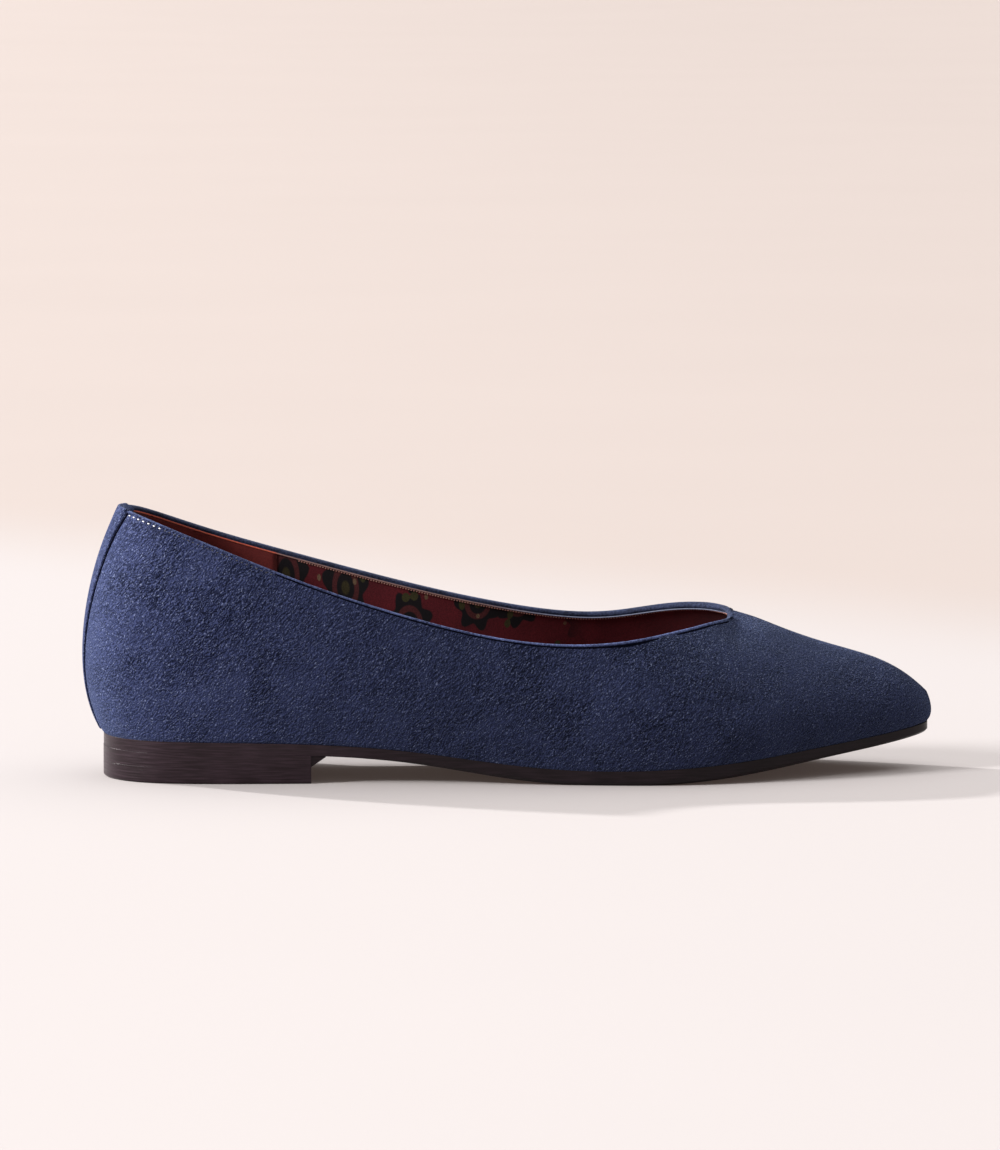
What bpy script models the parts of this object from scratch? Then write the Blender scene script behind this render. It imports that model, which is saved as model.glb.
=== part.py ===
"""Pointed toe flat shoe for the right foot: a last's surface, and the pieces that are built on it.

Frame: metres, +X from heel to toe, +Y towards the big toe's side, +Z up. The origin is on the floor,
in the middle of the heel's tread. The last is described by ribs. A rib is the curve up one side of
the foot, from the feather line at the sole to the ridge on top, and its angle around the last runs
from 0 at the back of the heel to 180 at the tip of the toe.
"""

import functools
import math

import bmesh
import bpy
import numpy as np

# Last: its feather line starts behind the origin by the heel's reach
HEEL_REACH = 0.0315
LAST_LENGTH = 0.2530
HEEL_SEAT_WIDTH = 0.0525
BALL_WIDTH = 0.0720
TOE_SWING = 0.0052
HEEL_SEAT_HEIGHT = 0.0134
TOE_SPRING = 0.0100
COUNTER_HEIGHT = 0.0700
VAMP_HEIGHT = 0.0440
NOSE_HEIGHT = 0.0088
RIDGE_OFFSET = 0.0030
FLANK_SWELL = 0.0160
BACK_LEAN = 0.0187

# Angles around the last at which the opening ends, and at which the insole is cut off before the tip
THROAT_AROUND = 121.5
INSOLE_END_AROUND = 170.0

# Leather
UPPER_WALL = 0.0016
BINDING_THICKNESS = 0.0005
BINDING_OUTER_LEG = 0.0005
BINDING_INNER_LEG = 0.0012
STRIP_THICKNESS = 0.0006
STRIP_WIDTH = 0.0164
STRIP_FOOT = 0.0015
STRIP_INNER_LEG = 0.0030
INSOLE_THICKNESS = 0.0020

# Sole and heel
SOLE_THICKNESS = 0.0047
SOLE_LIP = 0.0005
TREAD_SINK = 0.0003
EDGE_ROUNDING = 0.0011
TOP_PIECE_HEIGHT = 0.0050
TOP_PIECE_ROUNDING = 0.0005
BREAST = 0.0310
BREAST_RAMP = 0.0045
RAMP_INSET = 0.0010

# Clearance between neighbouring pieces
GAP = 0.0003

# How finely the faceted surfaces are divided, and the least angle between two ribs
RIBS_BEHIND_THROAT = 32
RIBS_BEFORE_THROAT = 16
LEAST_STEP_AROUND = 1.0
LEVELS = 10
STRIP_LEVELS = 14
STRIP_COLUMNS = 4
HEEL_STATIONS = 12

# Feather line. Half width: heel and ball are shares of half of each width. Swing is a share of the
# toe's swing to the big toe's side. Seat is how far the line climbs from ball to heel seat, and
# spring how far from ball to tip.
FEATHER = (
    ("around", "heel", "ball", "swing", "seat", "spring"),
    (0, 0.000, 0.000, 0.00, 1.00, 0.00),
    (15, 0.552, 0.000, 0.00, 0.99, 0.00),
    (30, 0.895, 0.000, 0.00, 0.97, 0.00),
    (45, 1.000, 0.000, 0.00, 0.94, 0.00),
    (60, 0.900, 0.052, -0.19, 0.86, 0.00),
    (75, 0.550, 0.300, -0.53, 0.60, 0.00),
    (90, 0.200, 0.662, -0.60, 0.13, 0.00),
    (105, 0.000, 0.993, -0.24, 0.00, 0.00),
    (120, 0.000, 0.972, 0.19, 0.00, 0.18),
    (135, 0.000, 0.694, 0.67, 0.00, 0.47),
    (150, 0.000, 0.406, 0.90, 0.00, 0.71),
    (165, 0.000, 0.194, 0.98, 0.00, 0.91),
    (180, 0.000, 0.000, 1.00, 0.00, 1.00),
)

# Ridge above the feather line: shares of the counter's, the vamp's and the nose's height. Offset is
# a share of how far the ridge lies to the big toe's side. The leans move it forward, as shares of
# the back's lean and of the nose's height.
RIDGE = (
    ("around", "counter", "vamp", "nose", "offset", "back_lean", "nose_lean"),
    (0, 1.166, 0.000, 0.00, 0.00, 1.00, 0.00),
    (15, 1.169, 0.000, 0.00, 0.00, 0.90, 0.00),
    (30, 1.175, 0.000, 0.00, 0.00, 0.61, 0.00),
    (45, 1.172, 0.000, 0.00, 0.00, 0.27, 0.00),
    (60, 1.000, 0.220, 0.00, 0.05, 0.07, 0.00),
    (75, 0.700, 0.612, 0.00, 0.20, 0.00, 0.00),
    (90, 0.400, 0.963, 0.00, 0.45, 0.00, 0.00),
    (105, 0.100, 1.147, 0.00, 0.80, 0.00, 0.00),
    (120, 0.000, 1.000, 0.00, 1.00, 0.00, 0.00),
    (135, 0.000, 0.704, 0.00, 0.73, 0.00, 0.00),
    (150, 0.000, 0.474, 0.18, 0.40, 0.00, -0.02),
    (165, 0.000, 0.160, 0.80, 0.13, 0.00, -0.10),
    (180, 0.000, 0.000, 1.00, 0.00, 0.00, -0.02),
)

# Side of the last between the two. Swell is a share of the flank's swell, out from the feather line.
# Rise is a share of the rib's height. Shoulder is how far the top handle reaches from ridge to
# feather line. Reach and drop pull it forward and down over the nose, as shares of the nose's height.
FLANK = (
    ("around", "swell", "rise", "shoulder", "reach", "drop"),
    (0, 1.00, 0.290, 0.80, 0.00, 0.00),
    (15, 0.94, 0.305, 0.81, 0.00, 0.00),
    (30, 0.80, 0.355, 0.86, 0.00, 0.00),
    (45, 0.71, 0.410, 0.90, 0.00, 0.00),
    (60, 0.65, 0.410, 0.82, 0.00, 0.00),
    (75, 0.60, 0.390, 0.75, 0.00, 0.00),
    (90, 0.55, 0.370, 0.71, 0.00, 0.00),
    (105, 0.48, 0.380, 0.62, 0.00, 0.00),
    (120, 0.44, 0.415, 0.50, 0.00, 0.00),
    (135, 0.39, 0.420, 0.46, 0.00, 0.00),
    (150, 0.29, 0.390, 0.50, 0.06, 0.03),
    (165, 0.21, 0.310, 0.55, 0.16, 0.12),
    (180, 0.15, 0.200, 0.00, 0.14, 0.26),
)

# Topline: how far up its rib the upper is cut, on the outer and on the inner side, as shares of the
# rib's height. At the throat both sides reach the ridge.
TOPLINE = (
    ("around", "outer", "inner"),
    (0, 0.836, 0.836),
    (15, 0.825, 0.828),
    (30, 0.776, 0.779),
    (45, 0.692, 0.704),
    (60, 0.595, 0.643),
    (75, 0.527, 0.602),
    (90, 0.527, 0.607),
    (105, 0.660, 0.718),
    (114, 0.810, 0.869),
    (118, 0.893, 0.936),
    (THROAT_AROUND, 1.000, 1.000),
)

# Sole: thickness as a share of the sole's thickness at the ball, and rounding as a share of the
# rounding of its lower edge.
SOLE = (
    ("around", "thickness", "rounding"),
    (0, 0.75, 0.00),
    (45, 0.75, 0.00),
    (60, 0.71, 0.12),
    (75, 0.74, 0.50),
    (90, 0.94, 0.90),
    (105, 1.00, 1.00),
    (120, 0.93, 1.00),
    (135, 0.78, 0.90),
    (150, 0.70, 0.80),
    (180, 0.64, 0.60),
)

# Back strip seen from behind: height as a share of the counter's, and width as a share of its own.
STRIP = (
    ("height", "width"),
    (0.00, 0.26),
    (0.15, 0.30),
    (0.30, 0.42),
    (0.50, 0.69),
    (0.70, 0.95),
    (0.85, 1.01),
    (1.00, 1.00),
)


def cubic(knots, values):
    """Smooth curve through the given points, as a function of one number."""
    steps = np.diff(knots)
    slopes = np.diff(values) / steps
    system = np.eye(len(knots))
    turns = np.zeros(len(knots))
    for i in range(1, len(knots) - 1):
        system[i, i - 1:i + 2] = steps[i - 1], 2.0 * (steps[i - 1] + steps[i]), steps[i]
        turns[i] = 6.0 * (slopes[i] - slopes[i - 1])
    bends = np.linalg.solve(system, turns)

    def at(place):
        i = int(np.clip(np.searchsorted(knots, place) - 1, 0, len(steps) - 1))
        ahead = (place - knots[i]) / steps[i]
        behind = 1.0 - ahead
        straight = behind * values[i] + ahead * values[i + 1]
        curved = (behind ** 3 - behind) * bends[i] + (ahead ** 3 - ahead) * bends[i + 1]
        return straight + curved * steps[i] ** 2 / 6.0

    return at


def column(table, name, sign=1.0, closed=True):
    """Smooth curve through one column of a table, by the value in the table's first column.

    Both sides of the shoe meet at the back, and at the tip where the table is closed. The column is
    mirrored there, with sign -1 where it changes sides, so that the curve runs on without a kink.
    """
    index = table[0].index(name)
    knots = [float(row[0]) for row in table[1:]]
    values = [float(row[index]) for row in table[1:]]
    before = [-knot for knot in knots[:0:-1]]
    before_values = [sign * value for value in values[:0:-1]]
    after = []
    after_values = []
    if closed:
        after = [2.0 * knots[-1] - knot for knot in knots[-2::-1]]
        after_values = [sign * value for value in values[-2::-1]]
    return cubic(np.array(before + knots + after), np.array(before_values + values + after_values))


HEEL_SHARE = column(FEATHER, "heel", sign=-1.0)
BALL_SHARE = column(FEATHER, "ball", sign=-1.0)
SWING_SHARE = column(FEATHER, "swing")
SEAT_SHARE = column(FEATHER, "seat")
SPRING_SHARE = column(FEATHER, "spring")
RIDGE_SHARES = {name: column(RIDGE, name) for name in RIDGE[0][1:]}
FLANK_SHARES = {name: column(FLANK, name) for name in FLANK[0][1:]}
TOPLINE_SHARES = {-1: column(TOPLINE, "outer", closed=False), 1: column(TOPLINE, "inner", closed=False)}
SOLE_SHARE = column(SOLE, "thickness")
ROUNDING_SHARE = column(SOLE, "rounding")
STRIP_SHARE = cubic(np.array([row[0] for row in STRIP[1:]]), np.array([row[1] for row in STRIP[1:]]))

# The upper's feather line lies over the sole, which stands on the floor at the ball
BALL_HEIGHT = SOLE_THICKNESS - TREAD_SINK + GAP


def length_at(around):
    """Place along the shoe of a rib's foot."""
    return -HEEL_REACH + LAST_LENGTH * (1.0 - math.cos(math.radians(around))) / 2.0


def around_at(length):
    """Angle of the rib whose foot lies at a place along the shoe."""
    return math.degrees(math.acos(1.0 - 2.0 * (length + HEEL_REACH) / LAST_LENGTH))


def feather_height(around):
    """Height of the feather line above the floor."""
    climb = (HEEL_SEAT_HEIGHT - BALL_HEIGHT) * SEAT_SHARE(around)
    return BALL_HEIGHT + climb + TOE_SPRING * SPRING_SHARE(around)


def feather(around, side):
    """Point on the feather line. Side is -1 on the little toe's side and 1 on the big toe's."""
    half_width = HEEL_SHARE(around) * HEEL_SEAT_WIDTH / 2.0 + BALL_SHARE(around) * BALL_WIDTH / 2.0
    across = TOE_SWING * SWING_SHARE(around) + side * half_width
    return np.array((length_at(around), across, feather_height(around)))


def outward(around, side):
    """Level direction that points away from the shoe at a point on the feather line."""
    step = 0.5
    along = feather(around + step, side) - feather(around - step, side)
    direction = np.array((-side * along[1], side * along[0], 0.0))
    return direction / np.linalg.norm(direction)


def ridge(around):
    """Point on the ridge, which the vamp has and the opening lacks."""
    share = {name: curve(around) for name, curve in RIDGE_SHARES.items()}
    height = COUNTER_HEIGHT * share["counter"] + VAMP_HEIGHT * share["vamp"] + NOSE_HEIGHT * share["nose"]
    lean = BACK_LEAN * share["back_lean"] + NOSE_HEIGHT * share["nose_lean"]
    across = TOE_SWING * SWING_SHARE(around) + RIDGE_OFFSET * share["offset"]
    return np.array((length_at(around) + lean, across, feather_height(around) + height))


@functools.lru_cache(maxsize=None)
def handles(around, side):
    """The four points that shape a rib: its foot, its flank, its shoulder and its top."""
    share = {name: curve(around) for name, curve in FLANK_SHARES.items()}
    foot = feather(around, side)
    top = ridge(around)
    height = top[2] - foot[2]
    flank = foot + FLANK_SWELL * share["swell"] * outward(around, side)
    flank[2] += height * share["rise"]
    shoulder = top + share["shoulder"] * (foot - top) * (1.0, 1.0, 0.0)
    shoulder += NOSE_HEIGHT * np.array((share["reach"], 0.0, -share["drop"]))
    return foot, flank, shoulder, top


def surface(around, side, up):
    """Point on the last, a share of the way up a rib."""
    foot, flank, shoulder, top = handles(around, side)
    down = 1.0 - up
    return down ** 3 * foot + 3.0 * down ** 2 * up * flank + 3.0 * down * up ** 2 * shoulder + up ** 3 * top


def outside(around, side, up):
    """Direction that points out of the last at a point on its surface."""
    turn = 0.25
    climb = 0.004
    along = surface(min(around + turn, 180.0), side, up) - surface(max(around - turn, 0.0), side, up)
    rising = surface(around, side, min(up + climb, 1.0)) - surface(around, side, max(up - climb, 0.0))
    normal = np.cross(along, rising) * -side
    return normal / np.linalg.norm(normal)


def up_at_height(around, side, height):
    """Share of the way up a rib at which it reaches a height above the floor."""
    low = 0.0
    high = 1.0
    for _ in range(30):
        middle = (low + high) / 2.0
        if surface(around, side, middle)[2] < height:
            low = middle
        else:
            high = middle
    return (low + high) / 2.0


@functools.lru_cache(maxsize=None)
def topline(around, side):
    """Share of the way up a rib at which the upper ends."""
    if around >= THROAT_AROUND:
        return 1.0
    low = feather_height(around)
    return up_at_height(around, side, low + TOPLINE_SHARES[side](around) * (ridge(around)[2] - low))


def rib_angles():
    """Angles of the ribs, closer together at the throat, where the topline turns."""
    behind = [1.0 - (1.0 - i / RIBS_BEHIND_THROAT) ** 1.7 for i in range(RIBS_BEHIND_THROAT)]
    before = [i / RIBS_BEFORE_THROAT for i in range(RIBS_BEFORE_THROAT + 1)]
    rest = 180.0 - THROAT_AROUND
    return [THROAT_AROUND * share for share in behind] + [THROAT_AROUND + rest * share for share in before]


def ring_of(angles):
    """Angle and side of each rib, out along the little toe's side and back along the other."""
    return [(angle, -1) for angle in angles] + [(angle, 1) for angle in angles[-2:0:-1]]


def material(name, colour, roughness):
    """Plain finish of one piece."""
    made = bpy.data.materials.new(name)
    made.use_nodes = True
    shader = made.node_tree.nodes["Principled BSDF"]
    shader.inputs["Base Color"].default_value = (*colour, 1.0)
    shader.inputs["Roughness"].default_value = roughness
    return made


def mesh_of_rows(rows, closed_across=False, closed_along=False):
    """Mesh with a face between each four neighbouring points of some equally long rows."""
    mesh = bmesh.new()
    corners = [[mesh.verts.new(point) for point in row] for row in rows]
    last_row = len(rows) if closed_along else len(rows) - 1
    last_place = len(rows[0]) if closed_across else len(rows[0]) - 1
    for i in range(last_row):
        this_row = corners[i]
        next_row = corners[(i + 1) % len(rows)]
        for j in range(last_place):
            k = (j + 1) % len(this_row)
            mesh.faces.new((this_row[j], next_row[j], next_row[k], this_row[k]))
    return mesh


def close_ends(mesh):
    """Weld what falls together, and fill the open ends of a loft."""
    bmesh.ops.remove_doubles(mesh, verts=mesh.verts, dist=1e-6)
    bmesh.ops.dissolve_degenerate(mesh, edges=mesh.edges, dist=1e-6)
    bmesh.ops.holes_fill(mesh, edges=mesh.edges, sides=0)
    bmesh.ops.recalc_face_normals(mesh, faces=mesh.faces)


def piece(name, mesh, finish, collection):
    """Object made of a finished mesh, shaded smooth but for its sharp edges."""
    data = bpy.data.meshes.new(name)
    mesh.to_mesh(data)
    mesh.free()
    data.shade_smooth()
    data.set_sharp_from_angle(angle=math.radians(35.0))
    data.materials.append(finish)
    made = bpy.data.objects.new(name, data)
    collection.objects.link(made)
    return made


def thicken(made, thickness, behind_faces=True):
    """Give an open surface its thickness, behind its faces or before them."""
    shell = made.modifiers.new("Wall", "SOLIDIFY")
    shell.thickness = thickness
    shell.offset = -1.0 if behind_faces else 1.0
    shell.use_even_offset = True
    shell.use_quality_normals = True


def make_upper(collection, finish):
    """Suede upper: the last's surface up to the topline, open underneath, with its wall inside."""
    rows = []
    for around, side in ring_of(rib_angles()):
        top = topline(around, side)
        rows.append([surface(around, side, top * level / LEVELS) for level in range(LEVELS + 1)])
    mesh = mesh_of_rows(rows, closed_along=True)
    bmesh.ops.remove_doubles(mesh, verts=mesh.verts, dist=1e-6)
    upper = piece("upper", mesh, finish, collection)
    thicken(upper, UPPER_WALL)


def strip_half_width(share_up):
    """Half of the back strip's width at a share of its way up the counter."""
    return STRIP_WIDTH / 2.0 * STRIP_SHARE(share_up)


def around_at_offset(side, share_up, offset):
    """Angle of the rib that lies a distance beside the back's middle, at a share of its own height."""
    low = 0.0
    high = 60.0
    for _ in range(30):
        middle = (low + high) / 2.0
        if abs(surface(middle, side, share_up * topline(middle, side))[1]) < offset:
            low = middle
        else:
            high = middle
    return (low + high) / 2.0


def rim_frame(around, side):
    """Top edge of the upper: its point, the way out of the leather, and the way off its edge."""
    step = 0.3
    here = surface(around, side, topline(around, side))
    normal = outside(around, side, topline(around, side))
    ahead = min(around + step, THROAT_AROUND)
    behind = max(around - step, 0.0)
    along = surface(ahead, side, topline(ahead, side)) - surface(behind, side, topline(behind, side))
    if around >= THROAT_AROUND:
        along = np.array((0.0, -side, 0.0))
    off_edge = np.cross(normal, along) * -side
    return here, normal, off_edge / np.linalg.norm(off_edge)


def over_rim(around, side, outer_leg, inner_leg):
    """Line that folds over the upper's top edge, a gap away from it."""
    here, normal, off_edge = rim_frame(around, side)
    out = here + normal * GAP
    back = here - normal * (UPPER_WALL + GAP)
    legs = [out - off_edge * outer_leg] if outer_leg else []
    return legs + [out + off_edge * GAP, back + off_edge * GAP, back - off_edge * inner_leg]


def make_back_strip(collection, finish):
    """Strip over the seam at the back, narrow at the sole and folded over the topline."""
    columns = [(-1, i / STRIP_COLUMNS) for i in range(STRIP_COLUMNS, 0, -1)]
    columns += [(1, i / STRIP_COLUMNS) for i in range(STRIP_COLUMNS + 1)]
    foot = STRIP_FOOT / COUNTER_HEIGHT
    rows = []
    for side, share in columns:
        row = []
        for level in range(STRIP_LEVELS):
            share_up = foot + (1.0 - foot) * level / STRIP_LEVELS
            around = around_at_offset(side, share_up, share * strip_half_width(share_up))
            up = share_up * topline(around, side)
            row.append(surface(around, side, up) + GAP * outside(around, side, up))
        rim_around = around_at_offset(side, 1.0, share * strip_half_width(1.0))
        rows.append(row + over_rim(rim_around, side, 0.0, STRIP_INNER_LEG))
    mesh = mesh_of_rows(rows)
    strip = piece("back_strip", mesh, finish, collection)
    thicken(strip, STRIP_THICKNESS)


def make_binding(collection, finish):
    """Narrow binding folded over the topline, from one edge of the back strip to the other."""
    rows = []
    start = {side: around_at_offset(side, 1.0, strip_half_width(1.0) + GAP) for side in (-1, 1)}
    angles = [around for around in rib_angles() if around <= THROAT_AROUND]
    for side in (-1, 1):
        edge = [start[side]] + [around for around in angles if around > start[side] + LEAST_STEP_AROUND]
        edge = edge if side < 0 else edge[-2::-1]
        rows += [over_rim(around, side, BINDING_OUTER_LEG, BINDING_INNER_LEG) for around in edge]
    mesh = mesh_of_rows(rows)
    binding = piece("topline_binding", mesh, finish, collection)
    thicken(binding, BINDING_THICKNESS, behind_faces=False)


def make_insole(collection, finish):
    """Insole: a board inside the upper's foot, a gap clear of its wall and cut off before the tip."""
    rows = []
    for around in [around for around in rib_angles() if around < INSOLE_END_AROUND]:
        row = []
        for side in (-1, 1):
            lean = outside(around, side, 0.0)
            inset = UPPER_WALL / math.hypot(lean[0], lean[1]) + GAP
            row.append(feather(around, side) - inset * outward(around, side))
        thickness = np.array((0.0, 0.0, INSOLE_THICKNESS))
        rows.append([row[0], row[1], row[1] + thickness, row[0] + thickness])
    mesh = mesh_of_rows(rows, closed_across=True)
    close_ends(mesh)
    piece("insole", mesh, finish, collection)


def sole_edge(around, side, inset, height):
    """Point of the sole's outline, drawn in by an inset, at a height."""
    point = feather(around, side) + (SOLE_LIP - inset) * outward(around, side)
    return np.array((point[0], point[1], height))


def sole_top(around):
    """Height of the sole's upper face."""
    return feather_height(around) - GAP


def sole_bottom(around):
    """Height of the sole's lower face, flat where it meets the floor."""
    return max(sole_top(around) - SOLE_THICKNESS * SOLE_SHARE(around), 0.0)


def make_outsole(collection, finish):
    """Outsole: one sheet from heel seat to tip, with its arch, toe spring and rounded lower edge."""
    rows = []
    for around in rib_angles():
        rounding = max(EDGE_ROUNDING * ROUNDING_SHARE(around), 0.0)
        top = sole_top(around)
        bottom = sole_bottom(around)
        rows.append([
            sole_edge(around, -1, 0.0, top),
            sole_edge(around, 1, 0.0, top),
            sole_edge(around, 1, 0.0, bottom + rounding),
            sole_edge(around, 1, rounding, bottom),
            sole_edge(around, -1, rounding, bottom),
            sole_edge(around, -1, 0.0, bottom + rounding),
        ])
    mesh = mesh_of_rows(rows, closed_across=True)
    close_ends(mesh)
    piece("outsole", mesh, finish, collection)


def heel_layer(name, stations, top_height, bottom_height, rounding, finish, collection):
    """Layer of the heel under the sole's outline.

    Each station gives the angles at the layer's top and bottom, and how far its sides are drawn in.
    """
    rows = []
    for top_around, bottom_around, inset in stations:
        top = top_height(top_around)
        rows.append([
            sole_edge(top_around, -1, inset, top),
            sole_edge(top_around, 1, inset, top),
            sole_edge(bottom_around, 1, inset, bottom_height + rounding),
            sole_edge(bottom_around, 1, inset + rounding, bottom_height),
            sole_edge(bottom_around, -1, inset + rounding, bottom_height),
            sole_edge(bottom_around, -1, inset, bottom_height + rounding),
        ])
    mesh = mesh_of_rows(rows, closed_across=True)
    close_ends(mesh)
    piece(name, mesh, finish, collection)


def make_heel(collection, finish):
    """Low heel: a block with a narrower ramp before it, and the top piece that meets the floor."""
    breast = around_at(BREAST)
    ramp_end = around_at(BREAST + BREAST_RAMP)
    angles = [breast * i / HEEL_STATIONS for i in range(HEEL_STATIONS + 1)]
    stations = [(around, around, 0.0) for around in angles]
    ramp = [(breast, breast, RAMP_INSET), (ramp_end, breast, RAMP_INSET)]
    heel_layer(
        "heel_block", stations + ramp, lambda around: sole_bottom(around) - GAP,
        TOP_PIECE_HEIGHT + GAP, 0.0, finish, collection,
    )
    heel_layer(
        "heel_top_piece", stations, lambda around: TOP_PIECE_HEIGHT,
        0.0, TOP_PIECE_ROUNDING, finish, collection,
    )


def build():
    """Clear the scene and build the shoe."""
    for old in list(bpy.data.objects):
        bpy.data.objects.remove(old)
    collection = bpy.data.collections.new("pointed_toe_flat")
    bpy.context.scene.collection.children.link(collection)
    suede = material("navy_suede", (0.028, 0.035, 0.075), 0.9)
    edge = material("suede_edge", (0.060, 0.080, 0.150), 0.8)
    sole_rubber = material("dark_brown_sole", (0.035, 0.025, 0.028), 0.45)
    lining = material("red_lining", (0.085, 0.018, 0.020), 0.6)
    make_upper(collection, suede)
    make_back_strip(collection, suede)
    make_binding(collection, edge)
    make_insole(collection, lining)
    make_outsole(collection, sole_rubber)
    make_heel(collection, sole_rubber)


build()
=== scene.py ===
import bisect
import math

import bmesh
import bpy
from mathutils import Matrix, Vector
from mathutils.bvhtree import BVHTree


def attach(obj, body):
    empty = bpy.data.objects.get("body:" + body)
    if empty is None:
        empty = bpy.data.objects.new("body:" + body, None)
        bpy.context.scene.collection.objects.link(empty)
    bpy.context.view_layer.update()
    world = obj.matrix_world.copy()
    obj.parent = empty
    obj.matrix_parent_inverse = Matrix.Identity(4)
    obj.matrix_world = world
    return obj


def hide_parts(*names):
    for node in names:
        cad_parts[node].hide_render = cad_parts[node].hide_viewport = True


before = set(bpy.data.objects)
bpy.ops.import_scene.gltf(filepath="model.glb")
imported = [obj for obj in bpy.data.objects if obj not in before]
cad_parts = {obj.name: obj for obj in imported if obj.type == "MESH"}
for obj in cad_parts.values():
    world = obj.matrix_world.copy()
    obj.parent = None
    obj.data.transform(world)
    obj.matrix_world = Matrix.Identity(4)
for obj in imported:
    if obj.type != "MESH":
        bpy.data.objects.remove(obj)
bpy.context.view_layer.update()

MM = 0.001


# Outsole and heel: a thin sheet of dark brown rubber and a low heel under its seat, sanded along the
# edge and inked. The layers are glued and pressed together, so that their joints barely show.

SOLE_DARK = (0.0085, 0.0046, 0.0062, 1.0)
SOLE_LIGHT = (0.0245, 0.0142, 0.0200, 1.0)
SOLE_EDGE_BEVEL = 0.25 * MM
HEEL_GAP_IN_CAD = 0.3 * MM
HEEL_JOINT = 0.005 * MM


def solid_of(node):
    """Merged copy of a CAD solid, with its triangles paired into quads."""
    mesh = bmesh.new()
    mesh.from_mesh(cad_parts[node].data)
    bmesh.ops.remove_doubles(mesh, verts=mesh.verts, dist=0.002 * MM)
    bmesh.ops.join_triangles(
        mesh, faces=mesh.faces, topology_influence=1.0,
        angle_face_threshold=math.pi, angle_shape_threshold=math.pi,
    )
    mesh.normal_update()
    return mesh


def round_edges(mesh, width, sharper_than, segments=2):
    """Round the edges that are sharper than an angle in degrees."""
    limit = math.radians(sharper_than)
    sharp = [edge for edge in mesh.edges if edge.calc_face_angle(0.0) > limit]
    bmesh.ops.bevel(
        mesh, geom=sharp, offset=width, segments=segments, affect="EDGES",
        profile=0.5, material=-1, clamp_overlap=True,
    )


def subdivided(mesh, levels, hold=False):
    """The mesh with its faces divided and smoothed. Held, its surface keeps its place."""
    mesh.normal_update()
    ways = []
    for corner in mesh.verts:
        beside = [edge.other_vert(corner) for edge in corner.link_edges if edge.is_boundary]
        along = (beside[0].co - beside[1].co).normalized() if len(beside) == 2 else None
        limit = 0.3 * min((edge.calc_length() for edge in corner.link_edges), default=0.0)
        ways.append((corner.co.copy(), corner.normal.copy(), along, limit))
    data = bpy.data.meshes.new("rough")
    mesh.to_mesh(data)
    mesh.free()
    rough = bpy.data.objects.new("rough", data)
    bpy.context.scene.collection.objects.link(rough)
    smoothing = rough.modifiers.new("Subdivision", "SUBSURF")
    smoothing.levels = levels
    smoothing.render_levels = levels
    for _ in range(3 if hold else 0):
        smooth = rough.evaluated_get(bpy.context.evaluated_depsgraph_get()).data
        lost = [way[0] - smooth.vertices[i].co for i, way in enumerate(ways)]
        for corner, step, (_, out, along, limit) in zip(data.vertices, lost, ways):
            kept = out * step.dot(out) if along is None else step - along * step.dot(along)
            corner.co += kept * min(0.8, limit / max(kept.length, 0.001 * MM))
        data.update()
    fine = bmesh.new()
    fine.from_object(rough, bpy.context.evaluated_depsgraph_get())
    bpy.data.objects.remove(rough)
    bpy.data.meshes.remove(data)
    fine.normal_update()
    return fine


def put_on(name, mesh, finish, slot, *nodes):
    """Make the finished mesh a piece of the shoe, in place of the CAD nodes it stands for."""
    data = bpy.data.meshes.new(name)
    mesh.to_mesh(data)
    mesh.free()
    data.shade_smooth()
    data.materials.append(finish)
    piece = bpy.data.objects.new(name, data)
    bpy.context.scene.collection.objects.link(piece)
    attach(piece, "root")
    if nodes:
        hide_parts(*nodes)
    return piece


def new_finish(name):
    """An empty finish: its material, its nodes and its shader."""
    made = bpy.data.materials.new(name)
    made.use_nodes = True
    return made, made.node_tree, made.node_tree.nodes["Principled BSDF"]


def add(tree, kind, inputs, **settings):
    """Add a node, with values or links on its inputs."""
    node = tree.nodes.new("ShaderNode" + kind)
    for name, value in settings.items():
        setattr(node, name, value)
    for name, value in inputs.items():
        if isinstance(value, bpy.types.NodeSocket):
            tree.links.new(value, node.inputs[name])
        else:
            node.inputs[name].default_value = value
    return node


def sums(tree, operation, first, second=0.0, third=0.0):
    """One sum on numbers or sockets."""
    return add(tree, "Math", {0: first, 1: second, 2: third}, operation=operation).outputs[0]


def place(tree, scale=(1.0, 1.0, 1.0)):
    """The place on the shoe, stretched for a grain."""
    here = add(tree, "TexCoord", {}).outputs["Object"]
    return add(tree, "Mapping", {"Vector": here, "Scale": scale}).outputs[0]


def place_along(tree, axis):
    """How far along one axis the place on the shoe is."""
    return add(tree, "SeparateXYZ", {0: place(tree)}).outputs[axis]


def grain(tree, where, size, detail=2.0, roughness=0.5, distortion=0.0):
    """Noise whose spots have a size in metres."""
    inputs = {
        "Vector": where, "Scale": 1.0 / size, "Detail": detail,
        "Roughness": roughness, "Distortion": distortion,
    }
    return add(tree, "TexNoise", inputs).outputs["Fac"]


def between(tree, value, low, high, to_low=0.0, to_high=1.0):
    """Spread a range of values softly over another."""
    inputs = {0: value, 1: low, 2: high, 3: to_low, 4: to_high}
    return add(tree, "MapRange", inputs, interpolation_type="SMOOTHSTEP").outputs[0]


def blend_colours(tree, share, first, second):
    """Mix two colours by a share, on the colour sockets of the mix node."""
    node = tree.nodes.new("ShaderNodeMix")
    node.data_type = "RGBA"
    for socket, value in ((node.inputs[0], share), (node.inputs[6], first), (node.inputs[7], second)):
        if isinstance(value, bpy.types.NodeSocket):
            tree.links.new(value, socket)
        else:
            socket.default_value = value
    return node.outputs[2]


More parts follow.
